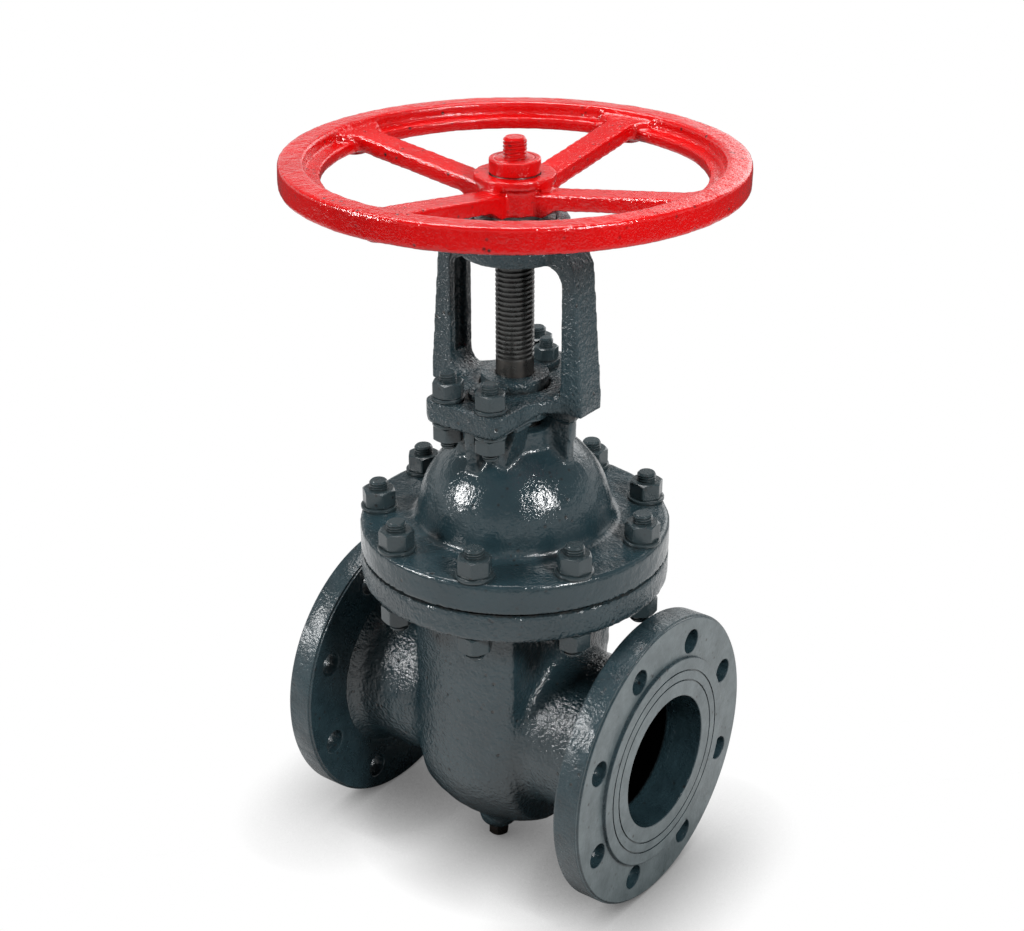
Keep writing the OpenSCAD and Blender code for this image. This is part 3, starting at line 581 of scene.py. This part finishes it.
def make_yoke_casting():
    """Head, legs and the thick foot, which reaches down over the bonnet's seat."""
    bm = remeshed(cad_copy("yoke"), YOKE_GRAIN)
    for v in bm.verts:
        near = yoke_foot_z + SEAT_DEPTH - v.co.z
        inside = TONGUE_HALF - abs(v.co.x - axis_x)
        if near > 0 and inside > 0:
            v.co.z -= near * min(1.0, inside / TONGUE_EASE)
    soften(bm, CAST_PASSES)
    roughen(bm, 8 * MM, 0.25 * MM)
    piece_from(bm, "yoke_casting", "valve_frame", "casting_paint", yoke_enamel, "yoke")


def make_wheel_casting():
    """Rim, spokes and hub."""
    bm = remeshed(cad_copy("handwheel"), WHEEL_GRAIN)
    soften(bm, CAST_PASSES)
    roughen(bm, 10 * MM, 0.25 * MM)
    piece_from(bm, "handwheel_casting", "wheel", "wheel_paint", wheel_enamel, "handwheel")


make_body_casting()
make_end_flange("inlet_flange", "inlet_end", inlet_cut_x, 1)
make_end_flange("outlet_flange", "outlet_end", outlet_cut_x, -1)
make_bonnet_casting()
make_yoke_casting()
make_wheel_casting()


# Threads and fasteners

# Rise and drop of a thread's outline, as shares of its pitch and its depth
THREAD_OUTLINE = ((0.0, 0.0), (0.34, 0.0), (0.5, 1.0), (0.84, 1.0), (1.0, 0.0))
STUD_THREAD_SHARE = 0.55
STUD_STEPS = 18
STUD_CHAMFER = 1.4 * MM
BONNET_STUD = 14 * MM
YOKE_STUD = 12 * MM
GLAND_STUD = 10 * MM
BONNET_NUT_FLATS = 22 * MM
YOKE_NUT_FLATS = 20 * MM
GLAND_NUT_FLATS = 16 * MM
NUT_SIDES = 6
NUT_SIDE_CUTS = 5
NUT_FACE_SHARE = 0.96
NUT_CHAMFER = math.radians(30)
NUT_CORNER = 0.6 * MM
GOLDEN_TURN = math.radians(137.5)
SMALL_TURN = math.radians(3)
YOKE_NUT_TURN = math.radians(26)
GLAND_NUT_TURN = math.radians(10)


def screw_thread(centre, low, high, radius, pitch, depth, steps, chamfer):
    """A rod with a trapezoid thread, cut square at both ends and chamfered there."""
    bm = bmesh.new()
    start = low - pitch
    turns = math.ceil((high - low) / pitch) + 1
    made = [bm.verts.new((centre[0] + radius - depth * drop, centre[1], start + pitch * rise))
            for rise, drop in THREAD_OUTLINE]
    line = [bm.edges.new(pair) for pair in zip(made, made[1:])]
    bmesh.ops.spin(bm, geom=made + line, cent=(*centre, 0), axis=(0, 0, 1), dvec=(0, 0, pitch / steps),
                   angle=math.tau * turns, steps=steps * turns)
    bmesh.ops.remove_doubles(bm, verts=bm.verts, dist=WELD)
    for z, upward in ((low, -1), (high, 1)):
        bmesh.ops.edgeloop_fill(bm, edges=cut_off(bm, (0, 0, z), (0, 0, upward)))
    for v in bm.verts:
        end = min(v.co.z - low, high - v.co.z)
        if end < chamfer:
            out = Vector((v.co.x - centre[0], v.co.y - centre[1], 0))
            allowed = radius - (chamfer - end)
            if out.length > allowed:
                v.co -= out * (1 - allowed / out.length)
    bmesh.ops.recalc_face_normals(bm, faces=bm.faces)
    return bm


def solid_places(node):
    """Centre, lowest and highest height of each separate solid in a CAD node."""
    bm = cad_copy(node)
    seen = set()
    places = []
    for first in bm.verts:
        if first in seen:
            continue
        group = [first]
        seen.add(first)
        for v in group:
            for e in v.link_edges:
                other = e.other_vert(v)
                if other not in seen:
                    seen.add(other)
                    group.append(other)
        xs = [v.co.x for v in group]
        ys = [v.co.y for v in group]
        zs = [v.co.z for v in group]
        places.append(((min(xs) + max(xs)) / 2, (min(ys) + max(ys)) / 2, min(zs), max(zs)))
    bm.free()
    return places


def make_studs(node, diameter, pitch, shown=None):
    """The studs of a node, or those of them that are shown, with cut threads."""
    joined = bmesh.new()
    for x, y, low, high in solid_places(node):
        if shown is None or shown(y):
            join(joined, screw_thread((x, y), low, high, diameter / 2, pitch, STUD_THREAD_SHARE * pitch,
                                      STUD_STEPS, STUD_CHAMFER))
    piece_from(joined, node + "_threaded", "valve_frame", "dark_steel", nut_enamel, node)


def hex_ring(flats, height, hole_radius):
    """A hexagon nut standing on the ground plane with chamfered corners at its ends."""
    bm = bmesh.new()
    bmesh.ops.create_circle(bm, segments=NUT_SIDES, radius=flats / math.sqrt(3))
    bmesh.ops.subdivide_edges(bm, edges=bm.edges[:], cuts=NUT_SIDE_CUTS)
    face_circle = flats / 2 * NUT_FACE_SHARE

    def crown(v):
        return max(0.0, math.hypot(v.co.x, v.co.y) - face_circle) * math.tan(NUT_CHAMFER)

    def lift(v):
        v.co.z = height - crown(v)

    def to_circle(radius, z):
        def move(v):
            flat = Vector((v.co.x, v.co.y, 0)).normalized() * radius
            v.co = Vector((flat.x, flat.y, z))
        return move

    def next_ring(edges, move):
        grown = bmesh.ops.extrude_edge_only(bm, edges=edges)["geom"]
        for v in only_verts(grown):
            move(v)
        return [e for e in only_edges(grown) if e.is_boundary]

    for v in bm.verts:
        v.co.z = crown(v)
    bottom = list(bm.edges)
    top = next_ring(bottom, lift)
    top = next_ring(top, to_circle(face_circle, height))
    top = next_ring(top, to_circle(hole_radius, height))
    bottom = next_ring(bottom, to_circle(face_circle, 0))
    bottom = next_ring(bottom, to_circle(hole_radius, 0))
    bmesh.ops.bridge_loops(bm, edges=top + bottom)
    bmesh.ops.recalc_face_normals(bm, faces=bm.faces)
    return bm


def make_nuts(node, flats, hole, turn_step, first_turn, shown=None):
    """The nuts of a node, each turned a little differently, as they end up when tightened."""
    joined = bmesh.new()
    for number, (x, y, low, high) in enumerate(solid_places(node)):
        if shown is not None and not shown(y):
            continue
        half = 0.5 * (high - low)
        bm = hex_ring(flats, high - low, hole / 2)
        round_edges(bm, NUT_CORNER, chosen=lambda e: abs(e.verts[0].co.z - e.verts[1].co.z) > half)
        turn = Matrix.Rotation(first_turn + number * turn_step, 4, "Z")
        bmesh.ops.transform(bm, matrix=Matrix.Translation((x, y, low)) @ turn, verts=bm.verts)
        join(joined, bm)
    piece_from(joined, node + "_hex", "valve_frame", "painted_fasteners", nut_enamel, node)


def behind_stem(y):
    """True for the gland's one stud and nut that show."""
    return y > 0


make_studs("bonnet_studs", BONNET_STUD, 2.0 * MM)
make_studs("yoke_studs", YOKE_STUD, 1.75 * MM)
make_studs("gland_studs", GLAND_STUD, 1.5 * MM, behind_stem)
for nuts in ("bonnet_upper_nuts", "bonnet_lower_nuts"):
    make_nuts(nuts, BONNET_NUT_FLATS, BONNET_STUD, GOLDEN_TURN, 0.0)
for nuts in ("yoke_upper_nuts", "yoke_lower_nuts"):
    make_nuts(nuts, YOKE_NUT_FLATS, YOKE_STUD, SMALL_TURN, YOKE_NUT_TURN)
make_nuts("gland_nuts", GLAND_NUT_FLATS, GLAND_STUD, SMALL_TURN, GLAND_NUT_TURN, behind_stem)


# Machined pieces

# CAD node, piece, body, slot, finish, width of the broken edges and, for a rounder one, its segments
MACHINED = (
    ("bonnet_washers", "bonnet_washers_flat", "valve_frame", "painted_fasteners", nut_enamel, 0.5 * MM),
    ("yoke_washers", "yoke_washers_flat", "valve_frame", "painted_fasteners", nut_enamel, 0.5 * MM),
    ("gland", "gland_ring", "valve_frame", "gland_steel", yoke_enamel, 0.8 * MM),
    ("sleeve_ring", "sleeve_ring_turned", "valve_frame", "casting_paint", yoke_enamel, 0.5 * MM),
    ("yoke_sleeve", "yoke_sleeve_turned", "wheel", "dark_steel", stem_steel, 0.4 * MM),
    ("hub_nut", "hub_nut_round", "wheel", "wheel_paint", wheel_enamel, 1.2 * MM, 3),
    ("drain_plug", "drain_plug_hex", "valve_frame", "dark_steel", stud_steel, 0.5 * MM),
    ("bonnet_gasket", "bonnet_gasket_sheet", "valve_frame", "gasket_graphite", gasket_graphite, 0.2 * MM),
    ("wedge_gate", "wedge_gate_ground", "stem_and_gate", "gate_steel", gate_steel, 0.8 * MM),
    ("inlet_seat_ring", "inlet_seat_turned", "valve_frame", "seat_steel", seat_steel, 0.4 * MM),
    ("outlet_seat_ring", "outlet_seat_turned", "valve_frame", "seat_steel", seat_steel, 0.4 * MM),
)


def machined_copy(node, name, body, slot, material, width, segments=2):
    """A CAD node as it is, with its sharp edges broken."""
    bm = cad_copy(node)
    whole_faces(bm)
    round_edges(bm, width, segments)
    piece_from(bm, name, body, slot, material, node)


for row in MACHINED:
    machined_copy(*row)

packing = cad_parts["packing"]
packing.data.materials.clear()
packing.data.materials.append(gasket_graphite)


# Stem

ROD_SIDES = 64
STEM_PITCH = 3.5 * MM
STEM_THREAD_DEPTH = 1.8 * MM
STEM_STEPS = 48
STEM_CHAMFER = 1.5 * MM
SHANK_EASE = 0.1 * MM
PLAIN_BAND = 9 * MM
STUB_RADIUS = 8 * MM
STUB_PITCH = 2.5 * MM
STUB_THREAD_DEPTH = 1.25 * MM
STUB_STEPS = 32
STUB_CHAMFER = 1.6 * MM
CAP_DEPTH = 4 * MM

thread_low = gland_top_z + PLAIN_BAND
thread_high = hub_nut_top_z - CAP_DEPTH / 2


def plain_rod(low, high, radius, edge):
    """A plain round rod on the stem's axis with rounded ends."""
    bm = bmesh.new()
    bmesh.ops.create_cone(bm, cap_ends=True, segments=ROD_SIDES, radius1=radius, radius2=radius,
                          depth=high - low, matrix=Matrix.Translation((axis_x, 0, (low + high) / 2)))
    round_edges(bm, edge)
    return bm


def make_stem():
    """Plain shank through the gland, trapezoid thread above it, and the painted stub on top."""
    shank = plain_rod(stem_low.z, thread_low + STEM_PITCH, stem_radius - SHANK_EASE, 1.0 * MM)
    piece_from(shank, "stem_shank", "stem_and_gate", "stem_steel", shank_steel, "stem")
    thread = screw_thread((axis_x, 0), thread_low, thread_high, stem_radius, STEM_PITCH, STEM_THREAD_DEPTH,
                          STEM_STEPS, STEM_CHAMFER)
    piece_from(thread, "stem_thread", "stem_and_gate", "stem_steel", stem_steel)
    stub = screw_thread((axis_x, 0), thread_high, stem_high.z, STUB_RADIUS, STUB_PITCH, STUB_THREAD_DEPTH,
                        STUB_STEPS, STUB_CHAMFER)
    piece_from(stub, "stem_stub", "stem_and_gate", "wheel_paint", wheel_enamel)
    cap = plain_rod(hub_nut_top_z - CAP_DEPTH, hub_nut_top_z, stem_radius, 0.5 * MM)
    piece_from(cap, "stem_shoulder", "stem_and_gate", "wheel_paint", wheel_enamel)


make_stem()


# Floor, light and camera

FLOOR_SPAN = 40.0
FLOOR_GREY = (0.4, 0.4, 0.4)
SHADOW_REACH = 0.08
SHADOW_SHARE = 0.95
SHADOW_POWER = 1.7
MIRRORED_SHADOW_POWER = 4.5
SHEET_EDGE = (1.1, 1.3)
SHEET_DIM = 0.1
STUDIO_EDGE = (0.16, 0.34)
STUDIO_DIM = 0.24
FILL_LIGHT = 0.06
VIEW_AZIMUTH = math.radians(35.97)
VIEW_ELEVATION = math.radians(25.28)
VIEW_DISTANCE = 1.32694
VIEW_HEIGHT = 0.1997
VIEW_SHIFT = -0.00285
SENSOR = 36.0
LENS = 65.06

# Name, way to it as seen from the camera (sideways, forward, up), distance, size and power
SOFTBOXES = (
    ("right softbox", (0.506, 0.637, 0.58), 1.6, 0.4, 22.0),
    ("left softbox", (-0.877, 0.242, 0.413), 1.6, 0.4, 17.0),
    ("back softbox", (0.45, -0.8, 0.42), 2.0, 1.2, 8.0),
    ("top softbox", (-0.1, -0.35, 0.94), 1.6, 0.9, 20.0),
)

right = Vector((math.cos(VIEW_AZIMUTH), math.sin(VIEW_AZIMUTH), 0))
towards = Vector((math.sin(VIEW_AZIMUTH), -math.cos(VIEW_AZIMUTH), 0))
target = Vector((axis_x, 0, VIEW_HEIGHT))
under_valve = (axis_x, 0, cad_box[0].z)


def floor_finish():
    """Shows white with a painted soft shadow, white emission darkened by ambient occlusion near the valve,
    and a darker painted shadow in what mirrors it.
    """
    material = bpy.data.materials.new("pale floor")
    material.use_nodes = True
    tree = material.node_tree
    tree.nodes.remove(tree.nodes["Principled BSDF"])
    matt = shader_node(tree, "ShaderNodeBsdfDiffuse", {"Color": opaque(FLOOR_GREY)})
    shade = shader_node(tree, "ShaderNodeAmbientOcclusion", {"Distance": SHADOW_REACH},
                        samples=10).outputs["AO"]
    # Painted shadow: the white that the camera sees is darkened by ambient occlusion near the valve, and
    # more so in what mirrors the floor
    depth = blended(tree, SHADOW_SHARE, 1.0, maths(tree, "POWER", shade, SHADOW_POWER))
    painted_mirrored_shadow = maths(tree, "POWER", shade, MIRRORED_SHADOW_POWER)
    away = shader_node(tree, "ShaderNodeVectorMath", {0: object_place(tree), 1: under_valve},
                       operation="DISTANCE").outputs["Value"]
    sheet = blended(tree, spread(tree, away, *SHEET_EDGE), 1.0, SHEET_DIM)
    white = shader_node(tree, "ShaderNodeEmission", {"Color": depth, "Strength": 1.0})
    mirrored = shader_node(tree, "ShaderNodeEmission", {"Color": painted_mirrored_shadow, "Strength": sheet})
    path = shader_node(tree, "ShaderNodeLightPath").outputs
    unseen = shader_node(tree, "ShaderNodeMixShader",
                         {0: path["Is Glossy Ray"], 1: matt.outputs[0], 2: mirrored.outputs[0]})
    shown = shader_node(tree, "ShaderNodeMixShader",
                        {0: path["Is Camera Ray"], 1: unseen.outputs[0], 2: white.outputs[0]})
    tree.links.new(shown.outputs[0], tree.nodes["Material Output"].inputs["Surface"])
    return material


def make_floor():
    """A pale floor that shows white, with a painted shadow under the valve."""
    bm = bmesh.new()
    bmesh.ops.create_grid(bm, x_segments=1, y_segments=1, size=FLOOR_SPAN / 2,
                          matrix=Matrix.Translation(under_valve))
    floor = scene_object("floor", mesh_from(bm, "floor"))
    floor.data.materials.append(floor_finish())


def make_world():
    """Soft light from all round. The backdrop shows white, with a dim studio above it."""
    world = bpy.data.worlds.new("studio")
    bpy.context.scene.world = world
    world.use_nodes = True
    tree = world.node_tree
    path = shader_node(tree, "ShaderNodeLightPath").outputs
    seen = maths(tree, "MAXIMUM", path["Is Camera Ray"], path["Is Glossy Ray"])
    seen = maths(tree, "MAXIMUM", seen, path["Is Transmission Ray"])
    way = shader_node(tree, "ShaderNodeTexCoord").outputs["Generated"]
    height = shader_node(tree, "ShaderNodeSeparateXYZ", {0: way}).outputs["Z"]
    studio = blended(tree, spread(tree, height, *STUDIO_EDGE), 1.0, STUDIO_DIM)
    background = tree.nodes["Background"]
    tree.links.new(blended(tree, seen, FILL_LIGHT, studio), background.inputs["Strength"])
    background.inputs["Color"].default_value = (1, 1, 1, 1)


def aim(thing, way, distance):
    """Places a light or camera some way off the valve and turns it to face it."""
    thing.location = target + way * distance
    thing.rotation_mode = "QUATERNION"
    thing.rotation_quaternion = (-way).to_track_quat("-Z", "Y")


def softbox(name, way, distance, size, power):
    """A round area light aimed at the valve."""
    light = bpy.data.lights.new(name, "AREA")
    light.shape = "DISK"
    light.size = size
    light.energy = power
    sideways, forward, up = way
    straight = (right * sideways + towards * forward + Vector((0, 0, up))).normalized()
    aim(scene_object(name, light), straight, distance)


def make_camera():
    """The camera of the photo."""
    data = bpy.data.cameras.new("photo view")
    data.sensor_width = SENSOR
    data.sensor_fit = "HORIZONTAL"
    data.lens = LENS
    data.shift_x = VIEW_SHIFT
    camera = scene_object("photo view", data)
    way = towards * math.cos(VIEW_ELEVATION) + Vector((0, 0, math.sin(VIEW_ELEVATION)))
    aim(camera, way, VIEW_DISTANCE)
    bpy.context.scene.camera = camera


make_floor()
make_world()
for row in SOFTBOXES:
    softbox(*row)
make_camera()
bpy.context.scene.view_settings.view_transform = "Standard"
